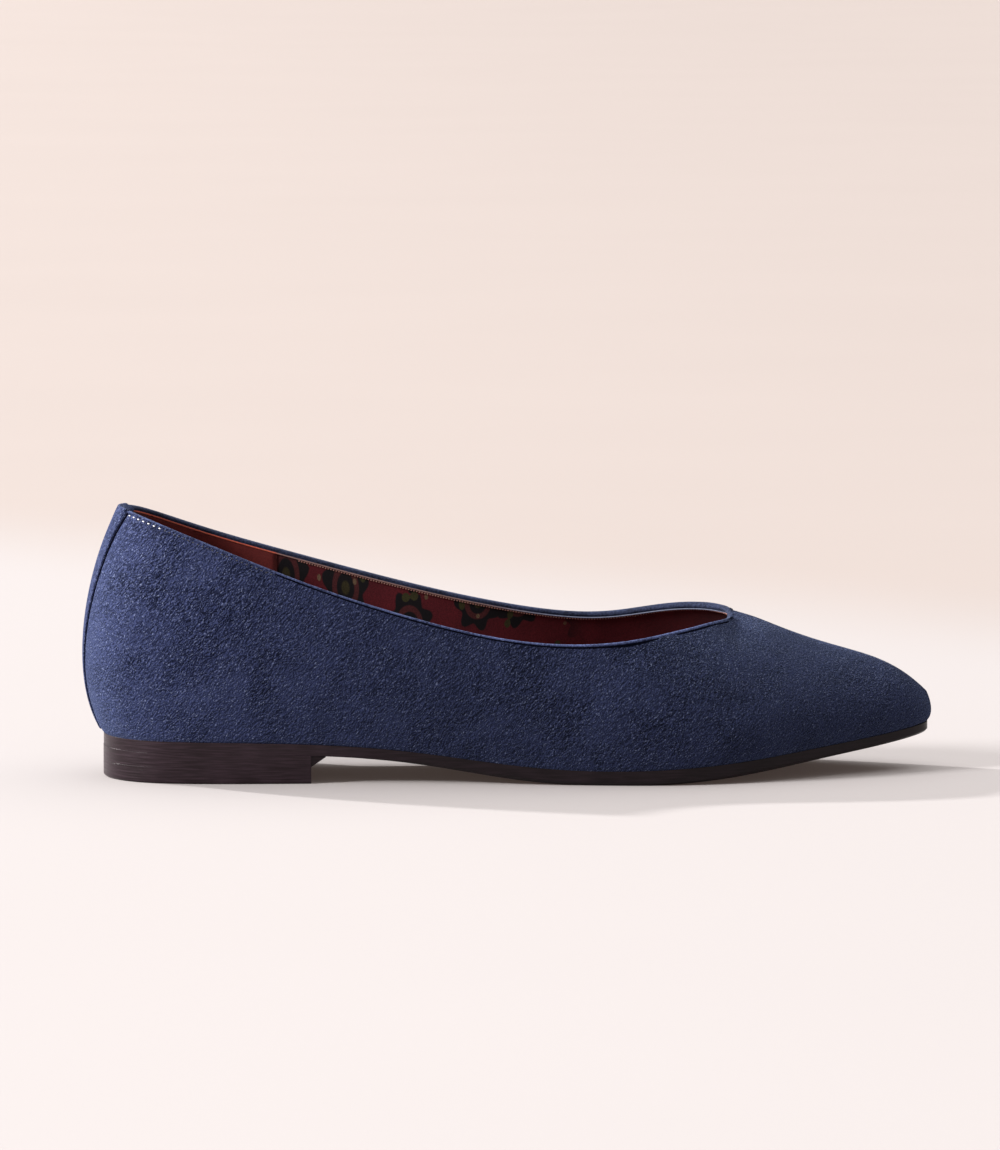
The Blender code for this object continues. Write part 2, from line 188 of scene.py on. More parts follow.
def paint(tree, shader, colour, strength):
    """Give the shader a colour, made lighter or darker by a strength."""
    shaded = add(tree, "VectorMath", {0: colour, 3: strength}, operation="SCALE").outputs[0]
    tree.links.new(shaded, shader.inputs["Base Color"])


def relief(tree, shader, height, depth, under=None):
    """Bump of a depth in metres, on top of another."""
    inputs = {"Height": height, "Distance": depth, "Strength": 1.0}
    if under is not None:
        inputs["Normal"] = under
    bump = add(tree, "Bump", inputs).outputs[0]
    tree.links.new(bump, shader.inputs["Normal"])
    return bump


def make_sole_rubber():
    """Dark brown rubber, streaked along the edge by the sanding wheel, paler at the heel and darker towards
    the toe as painted light and shade.
    """
    made, tree, shader = new_finish("dark_brown_rubber")
    streaks = grain(tree, place(tree, (1.0, 1.0, 22.0)), 9.0 * MM, detail=3.0)
    clouds = grain(tree, place(tree), 14.0 * MM)
    fine = grain(tree, place(tree, (1.0, 1.0, 3.0)), 0.5 * MM)
    share = sums(
        tree, "ADD", between(tree, streaks, 0.35, 0.75, 0.0, 0.7), between(tree, clouds, 0.3, 0.8, 0.0, 0.3),
    )
    colour = blend_colours(tree, share, SOLE_DARK, SOLE_LIGHT)
    # Painted light and shade: lighter at the heel, where the light from the left falls, darker towards the
    # toe.
    paint(tree, shader, colour, between(tree, place_along(tree, "X"), 20.0 * MM, 75.0 * MM, 1.30, 0.55))
    tree.links.new(between(tree, streaks, 0.3, 0.8, 0.30, 0.46), shader.inputs["Roughness"])
    shader.inputs["Specular IOR Level"].default_value = 0.16
    first = relief(tree, shader, streaks, 0.05 * MM)
    relief(tree, shader, fine, 0.02 * MM, under=first)
    return made


sole_rubber = make_sole_rubber()
outsole = solid_of("outsole")
round_edges(outsole, SOLE_EDGE_BEVEL, 25.0)
put_on("outsole_edge_inked", subdivided(outsole, 1), sole_rubber, "dark_sole", "outsole")

heel_block = solid_of("heel_block")
for corner in heel_block.verts:
    if corner.normal.z > 0.3:
        corner.co.z += HEEL_GAP_IN_CAD - HEEL_JOINT
    elif corner.normal.z < -0.3:
        corner.co.z -= HEEL_GAP_IN_CAD - HEEL_JOINT
round_edges(heel_block, 0.03 * MM, 40.0)
put_on("heel_stack", subdivided(heel_block, 1), sole_rubber, "dark_sole", "heel_block")

top_piece = solid_of("heel_top_piece")
round_edges(top_piece, 0.04 * MM, 30.0)
put_on("heel_tread", subdivided(top_piece, 1), sole_rubber, "dark_sole", "heel_top_piece")


# Sock lining: dark red leather with a soft rubbed gloss, cut to the shape of the insole board and
# glued down over it. The same leather lines the heel.

RED_DARK = (0.070, 0.0085, 0.0095, 1.0)
RED_LIGHT = (0.165, 0.021, 0.019, 1.0)


def make_red_leather():
    """Smooth red lining leather with fine pores and soft rubbed patches."""
    made, tree, shader = new_finish("red_lining_leather")
    patches = grain(tree, place(tree), 16.0 * MM, detail=3.0)
    pores = grain(tree, place(tree), 0.45 * MM, detail=2.0)
    share = sums(
        tree, "ADD", between(tree, patches, 0.3, 0.7, 0.0, 0.6), between(tree, pores, 0.35, 0.65, 0.0, 0.4),
    )
    tree.links.new(blend_colours(tree, share, RED_DARK, RED_LIGHT), shader.inputs["Base Color"])
    tree.links.new(between(tree, patches, 0.3, 0.7, 0.48, 0.62), shader.inputs["Roughness"])
    relief(tree, shader, pores, 0.04 * MM)
    return made


red_leather = make_red_leather()
sock = solid_of("insole")
round_edges(sock, 0.4 * MM, 40.0)
put_on("sock_lining", subdivided(sock, 1), red_leather, "red_leather", "insole")


# Linings: red leather around the heel and a printed textile over the forefoot, sewn together in the
# waist. They lie on the inside of the upper's wall.

LINING_THICKNESS = 0.6 * MM
HEEL_LINING_SUNK = 0.20 * MM
VAMP_LINING_SUNK = 0.42 * MM
WAIST_SEAM = 22.0 * MM
SEAM_OVERLAP = 3.0 * MM
SHARP_RIM = 60.0

INNER_THROAT_RAISED = 0.9 * MM
OUTER_THROAT_LOWERED = 2.2 * MM
POINT_LOWERED = 0.55 * MM

MAROON_DARK = (0.050, 0.0045, 0.0085, 1.0)
MAROON = (0.115, 0.0105, 0.0165, 1.0)
INK = (0.0050, 0.0040, 0.0060, 1.0)
FADED_RED = (0.060, 0.0130, 0.0150, 1.0)
OLIVE = (0.030, 0.025, 0.010, 1.0)
LEAF_OLIVE = (0.036, 0.034, 0.012, 1.0)
CREAM = (0.12, 0.075, 0.045, 1.0)
ROSETTE_SPACING = 19.0 * MM
ROSETTE_RADIUS = 6.4 * MM
PETAL_COUNT = 7.0
PETAL_DEPTH = 1.0 * MM
RING_RADIUS = 3.4 * MM
LEAF_SPACING = 7.5 * MM
LEAF_LENGTH = 2.3 * MM
BUD_SPACING = 5.5 * MM
PRINT_FADES = 108.0 * MM
PRINT_ENDS = 118.0 * MM


def ramp(value, none, full):
    """Soft share from nothing at one value to all at another."""
    share = min(max((value - none) / (full - none), 0.0), 1.0)
    return share * share * (3.0 - 2.0 * share)


def side_of_wall(outer):
    """One side of the upper's wall, up to its sharp rims, taken from the tip of the toe backwards.

    Of the worn throat, the outer side lies a little lower at the point. The inner side lies higher
    and then comes down to the point in a curve.
    """
    mesh = solid_of("upper")
    sign = 1.0 if outer else -1.0
    facing = [face for face in mesh.faces if sign * face.normal.x > 0.5]
    first = max(facing, key=lambda face: face.calc_center_median().x)
    kept = {first}
    front = [first]
    while front:
        for edge in front.pop().edges:
            if edge.calc_face_angle(math.pi) < math.radians(SHARP_RIM):
                fresh = [face for face in edge.link_faces if face not in kept]
                kept.update(fresh)
                front.extend(fresh)
    rest = [face for face in mesh.faces if face not in kept]
    bmesh.ops.delete(mesh, geom=rest, context="FACES")
    for corner in mesh.verts:
        x, y, z = corner.co
        high = ramp(z, 30.0 * MM, 45.0 * MM)
        inner = ramp(y, 0.0, 12.0 * MM) * ramp(abs(x - 148.0 * MM), 32.0 * MM, 0.0)
        outer_point = ramp(abs(x - 162.0 * MM), 10.0 * MM, 0.0)
        outer_point = outer_point * ramp(y, 7.0 * MM, 0.0) * ramp(y, -22.0 * MM, -10.0 * MM)
        inner_point = ramp(x, 148.0 * MM, 160.0 * MM) * ramp(x, 165.0 * MM, 161.0 * MM)
        inner_point *= ramp(y, 16.0 * MM, 8.0 * MM) * ramp(y, 0.0, 5.0 * MM)
        step = inner * INNER_THROAT_RAISED - outer_point * OUTER_THROAT_LOWERED
        corner.co.z += (step - inner_point * POINT_LOWERED) * high
    mesh.normal_update()
    return mesh


def swell(mesh, distance):
    """Move a sheet out along its own directions."""
    mesh.normal_update()
    steps = [(corner, corner.normal * distance) for corner in mesh.verts]
    for corner, step in steps:
        corner.co += step
    mesh.normal_update()


def give_wall(mesh, thickness):
    """Give a sheet its thickness, behind its faces."""
    mesh.normal_update()
    steps = [(corner, corner.normal * thickness) for corner in mesh.verts]
    bmesh.ops.extrude_face_region(mesh, geom=mesh.faces[:], use_keep_orig=True)
    for corner, step in steps:
        corner.co -= step
    bmesh.ops.recalc_face_normals(mesh, faces=mesh.faces)


def cut_off(mesh, at, keep_front):
    """Keep the part of a sheet before or behind a plane across the shoe."""
    bmesh.ops.bisect_plane(
        mesh, geom=mesh.verts[:] + mesh.edges[:] + mesh.faces[:], plane_co=(at, 0.0, 0.0),
        plane_no=(1.0, 0.0, 0.0), clear_inner=keep_front, clear_outer=not keep_front,
    )


def unrolled(tree):
    """The place on the lining's cloth, as if it were unrolled from around the foot."""
    around = sums(tree, "SUBTRACT", place_along(tree, "Z"), 20.0 * MM)
    turned = sums(tree, "ARCTAN2", place_along(tree, "Y"), around)
    across = sums(tree, "MULTIPLY", turned, 32.0 * MM)
    return add(tree, "CombineXYZ", {"X": place_along(tree, "X"), "Y": across}).outputs[0]


def scattered(tree, cloth, spacing, shift):
    """Scattered places of one motif: distance, angle and a random number for each."""
    moved = add(tree, "Mapping", {"Vector": cloth, "Location": (shift, shift * 0.6, 0.0)}).outputs[0]
    cells = add(
        tree, "TexVoronoi", {"Vector": moved, "Scale": 1.0 / spacing, "Randomness": 0.75},
        voronoi_dimensions="2D",
    )
    middle = cells.outputs["Position"]
    offset = add(tree, "VectorMath", {0: moved, 1: middle}, operation="SUBTRACT").outputs[0]
    parts = add(tree, "SeparateXYZ", {0: offset}).outputs
    far = add(tree, "VectorMath", {0: offset}, operation="LENGTH").outputs["Value"]
    angle = sums(tree, "ARCTAN2", parts["Y"], parts["X"])
    chance = add(tree, "SeparateColor", {0: cells.outputs["Color"]}).outputs["Red"]
    return far, angle, chance


def print_on(tree, colour, shape, printed, ink):
    """Print a motif's shape in an ink, as far forward as the cloth is printed."""
    return blend_colours(tree, sums(tree, "MULTIPLY", shape, printed), colour, ink)


def make_printed_textile():
    """Fine maroon cotton with a generic print of dark rosettes, olive leaves and cream buds."""
    made, tree, shader = new_finish("printed_lining_textile")
    cloth = unrolled(tree)
    printed = between(tree, place_along(tree, "X"), PRINT_FADES, PRINT_ENDS, 1.0, 0.0)
    colour = blend_colours(tree, grain(tree, place(tree), 9.0 * MM), MAROON_DARK, MAROON)

    far, angle, chance = scattered(tree, cloth, ROSETTE_SPACING, 3.0 * MM)
    turned = sums(tree, "MULTIPLY_ADD", angle, PETAL_COUNT, sums(tree, "MULTIPLY", chance, 6.0))
    reach = sums(tree, "MULTIPLY_ADD", sums(tree, "SINE", turned), PETAL_DEPTH, ROSETTE_RADIUS)
    rosette = between(tree, sums(tree, "SUBTRACT", far, reach), -0.25 * MM, 0.25 * MM, 1.0, 0.0)
    colour = print_on(tree, colour, rosette, printed, INK)
    from_ring = sums(tree, "ABSOLUTE", sums(tree, "SUBTRACT", far, RING_RADIUS))
    ring = between(tree, from_ring, 0.5 * MM, 0.9 * MM, 1.0, 0.0)
    colour = print_on(tree, colour, ring, printed, FADED_RED)
    heart = between(tree, far, 1.0 * MM, 1.5 * MM, 1.0, 0.0)
    colour = print_on(tree, colour, heart, printed, OLIVE)

    far, angle, chance = scattered(tree, cloth, LEAF_SPACING, 31.0 * MM)
    turned = sums(tree, "MULTIPLY_ADD", chance, 9.0, angle)
    lobes = sums(tree, "POWER", sums(tree, "ABSOLUTE", sums(tree, "COSINE", turned)), 2.5)
    reach = sums(tree, "MULTIPLY_ADD", lobes, LEAF_LENGTH, 0.25 * MM)
    leaf = between(tree, sums(tree, "SUBTRACT", far, reach), -0.2 * MM, 0.15 * MM, 1.0, 0.0)
    leaf = sums(tree, "MULTIPLY", leaf, between(tree, chance, 0.45, 0.50))
    colour = print_on(tree, colour, leaf, printed, LEAF_OLIVE)

    far, angle, chance = scattered(tree, cloth, BUD_SPACING, 57.0 * MM)
    bud = between(tree, far, 0.45 * MM, 0.7 * MM, 1.0, 0.0)
    bud = sums(tree, "MULTIPLY", bud, between(tree, chance, 0.70, 0.74))
    colour = print_on(tree, colour, bud, printed, CREAM)

    weave = grain(tree, place(tree), 0.35 * MM, detail=1.0)
    paint(tree, shader, colour, between(tree, weave, 0.3, 0.7, 0.72, 1.15))
    shader.inputs["Roughness"].default_value = 0.85
    shader.inputs["Specular IOR Level"].default_value = 0.15
    shader.inputs["Sheen Weight"].default_value = 0.05
    relief(tree, shader, weave, 0.08 * MM)
    return made


printed_textile = make_printed_textile()
lining = subdivided(side_of_wall(outer=False), 2, hold=True)

heel_lining = lining.copy()
cut_off(heel_lining, WAIST_SEAM, keep_front=False)
swell(heel_lining, -HEEL_LINING_SUNK)
give_wall(heel_lining, LINING_THICKNESS)
put_on("heel_lining", heel_lining, red_leather, "red_leather")

vamp_lining = lining.copy()
cut_off(vamp_lining, WAIST_SEAM - SEAM_OVERLAP, keep_front=True)
swell(vamp_lining, -VAMP_LINING_SUNK)
give_wall(vamp_lining, LINING_THICKNESS)
put_on("vamp_lining", vamp_lining, printed_textile, "printed_textile")
lining.free()


# Upper: one piece of navy suede without a tip seam, pulled over the last, turned in underneath and
# glued to the sole. Its short slanted nap shows as fine strokes and soft clouds; the lit and shaded sides
# of its grain, glints on light specks and a paler heel are painted light and shade.

SKIN_SHIFT = 0.25 * MM
SKIN_THICKNESS = 0.9 * MM
RIM_RISE = 0.45 * MM
TOPLINE_ABOVE = 22.0 * MM
POINT_FROM = 157.5 * MM
POINT_SMOOTHED_FROM = 152.0 * MM
SOUND_FACING = 0.42
NAVY_DEEP = (0.0008, 0.0014, 0.0075, 1.0)
NAVY = (0.0300, 0.0385, 0.0970, 1.0)
NAVY_PAINTED_GLINT = (0.160, 0.190, 0.300, 1.0)
PEBBLE = 0.72 * MM
NAP_SLANT = 0.75

# Soft troughs (below zero) and ridges, drawn one by one: side of the shoe, depth and half width in
# millimetres, then the line along the shoe and up from the floor.
CREASES = (
    (-1, -0.35, 7.0, ((128, 40), (118, 33), (110, 24))),
    (-1, 0.25, 6.0, ((140, 42), (131, 33), (124, 24))),
    (-1, -0.30, 8.0, ((168, 30), (156, 22), (150, 15))),
    (-1, -0.22, 6.0, ((100, 14), (118, 11), (136, 11))),
    (-1, 0.20, 7.0, ((60, 32), (72, 24), (86, 20))),
    (-1, -0.25, 9.0, ((34, 44), (40, 32), (38, 20))),
    (-1, 0.18, 6.0, ((4, 52), (14, 40), (16, 26))),
    (-1, -0.18, 6.0, ((-12, 60), (-16, 46), (-14, 30))),
    (1, -0.30, 8.0, ((132, 38), (120, 28), (112, 18))),
    (1, 0.22, 7.0, ((148, 36), (138, 26), (132, 17))),
    (1, -0.25, 9.0, ((44, 40), (50, 30), (46, 20))),
    (1, 0.20, 7.0, ((6, 50), (14, 38), (12, 26))),
    (1, -0.20, 7.0, ((172, 28), (164, 20), (160, 14))),
)


def press(mesh, side, depth, half_width, line):
    """Press a soft trough into a sheet, or raise a ridge, along a line on one side of the shoe."""
    points = [Vector((x, z)) * MM for x, z in line]
    mesh.normal_update()
    moves = []
    for corner in mesh.verts:
        if corner.co.y * side < 3.0 * MM:
            continue
        here = Vector((corner.co.x, corner.co.z))
        nearest = 1.0
        for start, end in zip(points, points[1:]):
            run = end - start
            share = min(max((here - start).dot(run) / run.length_squared, 0.0), 1.0)
            nearest = min(nearest, (here - start - run * share).length)
        if nearest < half_width * MM:
            fall = math.cos(nearest / (half_width * MM) * math.pi) / 2.0 + 0.5
            edge = min((corner.co.y * side - 3.0 * MM) / (8.0 * MM), 1.0)
            moves.append((corner, corner.normal * depth * MM * fall * edge))
    for corner, move in moves:
        corner.co += move


def make_navy_suede():
    """Navy suede: clouds of brushed nap and a pebbled grain with painted light and shade on its sides,
    painted glints on light specks, and painted light that makes it paler towards the heel.
    """
    made, tree, shader = new_finish("navy_suede")
    clouds = grain(tree, place(tree), 18.0 * MM, detail=3.0, roughness=0.55, distortion=0.6)
    slanted = {"Vector": place(tree), "Rotation": (0.0, NAP_SLANT, 0.0), "Scale": (0.80, 1.0, 1.55)}
    nap = add(tree, "Mapping", slanted, vector_type="TEXTURE").outputs[0]
    brushed = grain(tree, nap, 4.0 * MM, detail=2.0, distortion=1.2)
    pebbles = grain(tree, nap, PEBBLE, detail=2.5, roughness=0.6, distortion=0.8)
    # Painted light and shade: each pebble of the grain is coloured lighter on one side and darker on the
    # other, as if lit from one way.
    offset = (-0.28 * MM, -0.10 * MM, 0.05 * MM)
    beside = add(tree, "VectorMath", {0: nap, 1: offset}, operation="ADD").outputs[0]
    shaded_side = grain(tree, beside, PEBBLE, detail=2.5, roughness=0.6, distortion=0.8)
    lit = sums(tree, "SUBTRACT", pebbles, shaded_side)
    specks = grain(tree, place(tree), 0.42 * MM, detail=1.0)

    light_clouds = between(tree, clouds, 0.34, 0.68, 0.0, 0.30)
    light_brushed = between(tree, brushed, 0.34, 0.68, 0.0, 0.10)
    tone = sums(tree, "ADD", light_clouds, light_brushed)
    tone = sums(tree, "ADD", tone, between(tree, lit, -0.09, 0.12, 0.0, 0.86))
    colour = blend_colours(tree, tone, NAVY_DEEP, NAVY)
    # Painted glints: light specks on the lit sides of the grain, brighter on faces turned upwards.
    facing = add(tree, "NewGeometry", {}).outputs["Normal"]
    upward = add(tree, "SeparateXYZ", {0: facing}).outputs["Z"]
    lit_tips = between(tree, lit, 0.0, 0.12, 0.0, 0.8)
    painted_glints = sums(tree, "MULTIPLY", between(tree, specks, 0.54, 0.68), lit_tips)
    painted_glints = sums(tree, "MULTIPLY", painted_glints, between(tree, upward, 0.40, 0.85, 1.0, 2.8))
    colour = blend_colours(tree, painted_glints, colour, NAVY_PAINTED_GLINT)

    # Painted light and shade: paler towards the heel, where the light rakes over it, and darker along the
    # side towards the toe.
    along = place_along(tree, "X")
    painted_light_from_heel = between(tree, along, -30.0 * MM, 80.0 * MM, 1.60, 0.745)
    painted_light_to_toe = between(tree, along, 115.0 * MM, 150.0 * MM, 0.93, 0.98)
    paint(tree, shader, colour, sums(tree, "MULTIPLY", painted_light_from_heel, painted_light_to_toe))
    shader.inputs["Roughness"].default_value = 0.95
    shader.inputs["Specular IOR Level"].default_value = 0.06
    shader.inputs["Sheen Weight"].default_value = 0.22
    shader.inputs["Sheen Roughness"].default_value = 0.40
    shader.inputs["Sheen Tint"].default_value = (0.38, 0.52, 0.95, 1.0)
    first = relief(tree, shader, brushed, 0.35 * MM)
    second = relief(tree, shader, pebbles, 1.10 * MM, under=first)
    relief(tree, shader, specks, 0.30 * MM, under=second)
    return made


navy_suede = make_navy_suede()
skin = side_of_wall(outer=True)


def grow_edge(mesh, edges, step_of):
    """Extend a sheet past some of its edges, by a step that is worked out for each new corner."""
    made = bmesh.ops.extrude_edge_only(mesh, edges=edges)["geom"]
    fresh = [item for item in made if isinstance(item, bmesh.types.BMVert)]
    for corner, step in [(corner, step_of(corner)) for corner in fresh]:
        corner.co += step
    mesh.normal_update()


def turn_in(corner):
    """Step from the feather line in under the foot."""
    inward = Vector((corner.normal.x, corner.normal.y, 0.0))
    level = inward.normalized() * 1.3 * MM if inward.length > 0.0 else Vector()
    return Vector((0.0, 0.0, -0.25 * MM)) - level


def raise_rim(corner):
    """Step on up from the topline, in line with the face below."""
    old = [edge.other_vert(corner) for edge in corner.link_edges if not edge.is_boundary][0]
    below = [edge.other_vert(old) for edge in old.link_edges if not edge.is_boundary]
    below = min((v for v in below if v is not corner), key=lambda v: v.co.z)
    in_throat = min(abs(old.co.y + 0.7 * MM) / (4.0 * MM), 1.0) if old.co.x > 150.0 * MM else 1.0
    return (old.co - below.co).normalized() * RIM_RISE * max(in_throat, 0.1)


open_edges = [edge for edge in skin.edges if edge.is_boundary]
feather_edges = [edge for edge in open_edges if edge.verts[0].co.z < TOPLINE_ABOVE]
rim_edges = [edge for edge in open_edges if edge.verts[0].co.z >= TOPLINE_ABOVE]
grow_edge(skin, feather_edges, turn_in)
grow_edge(skin, rim_edges, raise_rim)
skin = subdivided(skin, 2, hold=True)
swell(skin, SKIN_SHIFT)


def rim_of(mesh):
    """The sheet's top edge in order, from the middle of the back along the outer side and around."""
    edges = [edge for edge in mesh.edges if edge.is_boundary]
    high = max((v for edge in edges for v in edge.verts), key=lambda v: v.co.z - 5.0 * abs(v.co.y))
    ring = [high]
    beside = [edge.other_vert(high) for edge in high.link_edges if edge.is_boundary]
    ring.append(min(beside, key=lambda v: v.co.y))
    while True:
        onward = [edge.other_vert(ring[-1]) for edge in ring[-1].link_edges if edge.is_boundary]
        onward = [v for v in onward if v is not ring[-2]]
        if not onward or onward[0] is high:
            break
        ring.append(onward[0])
    return ring


# The rim is a list of points, each with the ways out of and off the leather. At the throat's point
# the sheet is folded, so there the way out is taken from the sound corners on both sides.
rim = []
ring = rim_of(skin)
sound = [i for i, corner in enumerate(ring) if corner.normal.x > SOUND_FACING or corner.co.x < POINT_FROM]
for i, corner in enumerate(ring):
    along = (ring[(i + 1) % len(ring)].co - ring[i - 1].co).normalized()
    first = max(k for k in sound if k <= i)
    last = min(k for k in sound if k >= i)
    share = (i - first) / (last - first) if last > first else 0.0
    out = ring[first].normal.lerp(ring[last].normal, share).normalized()
    rim.append((corner.co - out * SKIN_SHIFT, out, out.cross(along).normalized()))
if sum(off.z for _, _, off in rim) < 0.0:
    rim = [(point, out, -off) for point, out, off in rim]
rim = [(point - off * RIM_RISE, out, off) for point, out, off in rim]
for _ in range(3):
    rim = [
        tuple((rim[i - 1][k] + rim[i][k] * 2.0 + rim[(i + 1) % len(rim)][k]) / 4.0 for k in range(3))
        if rim[i][0].x > POINT_SMOOTHED_FROM else rim[i]
        for i in range(len(rim))
    ]
rim_length = [0.0]
for i in range(len(rim)):
    rim_length.append(rim_length[-1] + (rim[(i + 1) % len(rim)][0] - rim[i][0]).length)
whole_rim = rim_length[-1]
throat = rim_length[max(range(len(rim)), key=lambda i: rim[i][0].x)]

for crease in CREASES:
    press(skin, *crease)
skin_surface = BVHTree.FromBMesh(skin)
give_wall(skin, SKIN_THICKNESS)
put_on("suede_upper", skin, navy_suede, "navy_suede", "upper")


# Back strip: a tapered strip of the same suede over the rear seam, its edges turned and rolled. It is
# folded over the topline, and beside it a near-black band is the painted shadow of the seam's groove.

STRIP_SUNK = 0.15 * MM
STRIP_ROOT = 0.9 * MM
STRIP_FOLD = 79.0 * MM
STRIP_EDGE_BEVEL = 0.28 * MM

# Half the strip's width up the back, then profiles of the painted groove shadow and the rolled edge: out
# of the leather and across the line. All in millimetres.
GROOVE_HALF_WIDTHS = (
    (17.5, 2.45), (24.0, 2.80), (32.0, 3.55), (40.0, 4.90), (48.0, 6.30), (56.0, 7.50), (64.0, 8.35),
    (71.0, 8.85), (76.5, 9.05), (79.8, 9.15), (81.6, 9.20),
)
GROOVE_SHADOW_PROFILE = ((0.10, -0.66), (0.38, -0.54), (0.44, 0.00), (0.38, 0.54), (0.10, 0.66))
ROLL_PROFILE = ((0.20, -0.34), (0.60, -0.27), (0.80, 0.00), (0.60, 0.27), (0.20, 0.34))
ROLL_INSET = 0.95 * MM


def band(stations, profiles):
    """A closed band along stations, each a point with two ways, and a profile for each in mm."""
    mesh = bmesh.new()
    number = mesh.verts.layers.int.new("station")

    def move(corner, k):
        point, out, off = stations[corner[number]]
        across, up = profiles[corner[number]][k]
        corner.co = point + out * across * MM + off * up * MM

    row = []
    for i in range(len(stations)):
        corner = mesh.verts.new()
        corner[number] = i
        move(corner, 0)
        row.append(corner)
    edges = [mesh.edges.new(pair) for pair in zip(row, row[1:])]
    first_edges = list(edges)
    for k in range(1, len(profiles[0])):
        made = bmesh.ops.extrude_edge_only(mesh, edges=edges)["geom"]
        fresh = {item for item in made if isinstance(item, bmesh.types.BMVert)}
        edges = [
            item for item in made
            if isinstance(item, bmesh.types.BMEdge) and item.verts[0] in fresh and item.verts[1] in fresh
        ]
        for corner in fresh:
            move(corner, k)
    bmesh.ops.bridge_loops(mesh, edges=first_edges + edges)
    bmesh.ops.holes_fill(mesh, edges=[edge for edge in mesh.edges if edge.is_boundary], sides=0)
    bmesh.ops.recalc_face_normals(mesh, faces=mesh.faces)
    return mesh


def strip_side(side, inset=0.0):
    """Stations down the skin beside the back strip, or inside its edge."""
    hits = []
    for (low, near), (high, far) in zip(GROOVE_HALF_WIDTHS, GROOVE_HALF_WIDTHS[1:]):
        for i in range(4):
            share = i / 4.0
            height = (low + (high - low) * share) * MM
            across = ((near + (far - near) * share) * MM - inset) * side
            point, out, _, _ = skin_surface.ray_cast(Vector((-0.09, across, height)), Vector((1.0, 0.0, 0.0)))
            if point is not None:
                hits.append((point - out * SKIN_SHIFT, out))
    stations = []
    for i, (point, out) in enumerate(hits):
        ahead = hits[min(i + 1, len(hits) - 1)][0]
        behind = hits[max(i - 1, 0)][0]
        stations.append((point, out, out.cross((ahead - behind).normalized()).normalized()))
    return stations


def make_groove_shadow():
    """Painted shadow: a near-black band laid where a seam's groove lies in shade."""
    made, tree, shader = new_finish("painted_seam_shadow")
    fluff = grain(tree, place(tree), 0.4 * MM)
    colour = blend_colours(tree, fluff, (0.0006, 0.0007, 0.0020, 1.0), (0.0032, 0.0038, 0.0095, 1.0))
    tree.links.new(colour, shader.inputs["Base Color"])
    shader.inputs["Roughness"].default_value = 1.0
    shader.inputs["Specular IOR Level"].default_value = 0.0
    relief(tree, shader, fluff, 0.10 * MM)
    return made


groove_shadow = make_groove_shadow()
for side, name in ((-1.0, "strip_groove_shadow_outer"), (1.0, "strip_groove_shadow_inner")):
    stations = strip_side(side)
    groove = band(stations, [GROOVE_SHADOW_PROFILE] * len(stations))
    put_on(name, subdivided(groove, 1), groove_shadow, "navy_suede")

strip = solid_of("back_strip")
for corner in strip.verts:
    point, out, _, _ = skin_surface.find_nearest(corner.co)
    proud = (corner.co - point).dot(out)
    on_outside = out.x < 0.2 and corner.co.z < STRIP_FOLD
    if on_outside and proud < 0.25 * MM:
        corner.co -= out * STRIP_ROOT
    elif on_outside:
        corner.co -= out * STRIP_SUNK
strip.normal_update()
round_edges(strip, STRIP_EDGE_BEVEL, 50.0)
put_on("back_strip_suede", subdivided(strip, 2, hold=True), navy_suede, "navy_suede", "back_strip")


# Topline: a narrow binding of the suede is folded over the edge and sewn down, rubbed lighter, and lighter
# still on the outer side and towards the throat as painted light, darker on the inner side as painted shade.
# Inside, a piped edge of the lining shows below it, brightened as painted highlight, and outside its seam a
# near-black band is the painted shadow of a groove.

BINDING_START = 8.9 * MM
PIPING_UNDER_STRIP = 2.0 * MM
GROOVE_SHADOW_START = 62.0 * MM
STATION_STEP = 1.2 * MM
BINDING_NAVY = (0.050, 0.066, 0.145, 1.0)
# Piping colours, bright as painted highlight along the folded edge.
PIPING_RED_HIGHLIGHT = (0.50, 0.090, 0.050, 1.0)
PIPING_PALE_HIGHLIGHT = (0.20, 0.115, 0.105, 1.0)
PIPING_BLUE_HIGHLIGHT = (0.20, 0.23, 0.34, 1.0)

# Profiles out of the leather and off its edge, in millimetres. The binding and the painted shadow of
# its groove have one behind, along the sides, and another before, at the throat.
INSIDE_PROFILE = (
    (0.05, 0.80), (-0.50, 0.82), (-1.00, 0.76), (-1.36, 0.58), (-1.54, 0.34), (-1.52, 0.14),
    (-1.38, 0.08), (-1.54, 0.00), (-1.60, -0.16), (-1.50, -0.30), (-1.10, -0.33),
)
BINDING_BEHIND = ((-0.30, -0.10), (0.20, 0.16), (0.42, 0.34), (0.50, 0.50), (0.40, 0.68)) + INSIDE_PROFILE
BINDING_THROAT = ((-0.30, -0.35), (0.24, -0.20), (0.50, 0.04), (0.58, 0.36), (0.44, 0.64)) + INSIDE_PROFILE
PIPING_PROFILE = (
    (-1.10, -0.20), (-1.42, -0.18), (-1.66, -0.28), (-1.75, -0.48), (-1.66, -0.68), (-1.42, -0.78),
    (-1.15, -0.72),
)
TOP_GROOVE_SHADOW_BEHIND = ((0.00, -0.46), (0.30, -0.38), (0.35, -0.14), (0.30, 0.12), (0.00, 0.22))
TOP_GROOVE_SHADOW_THROAT = ((0.00, -1.10), (0.36, -1.00), (0.42, -0.62), (0.36, -0.24), (0.00, -0.14))


def rim_at(distance):
    """Point of the rim at a distance around it, with the ways out of and off the leather there."""
    distance = distance % whole_rim
    i = bisect.bisect_right(rim_length, distance) - 1
    share = (distance - rim_length[i]) / (rim_length[i + 1] - rim_length[i])
    this = rim[i]
    following = rim[(i + 1) % len(rim)]
    point, out, off = (this[k].lerp(following[k], share) for k in range(3))
    return point, out.normalized(), off.normalized()


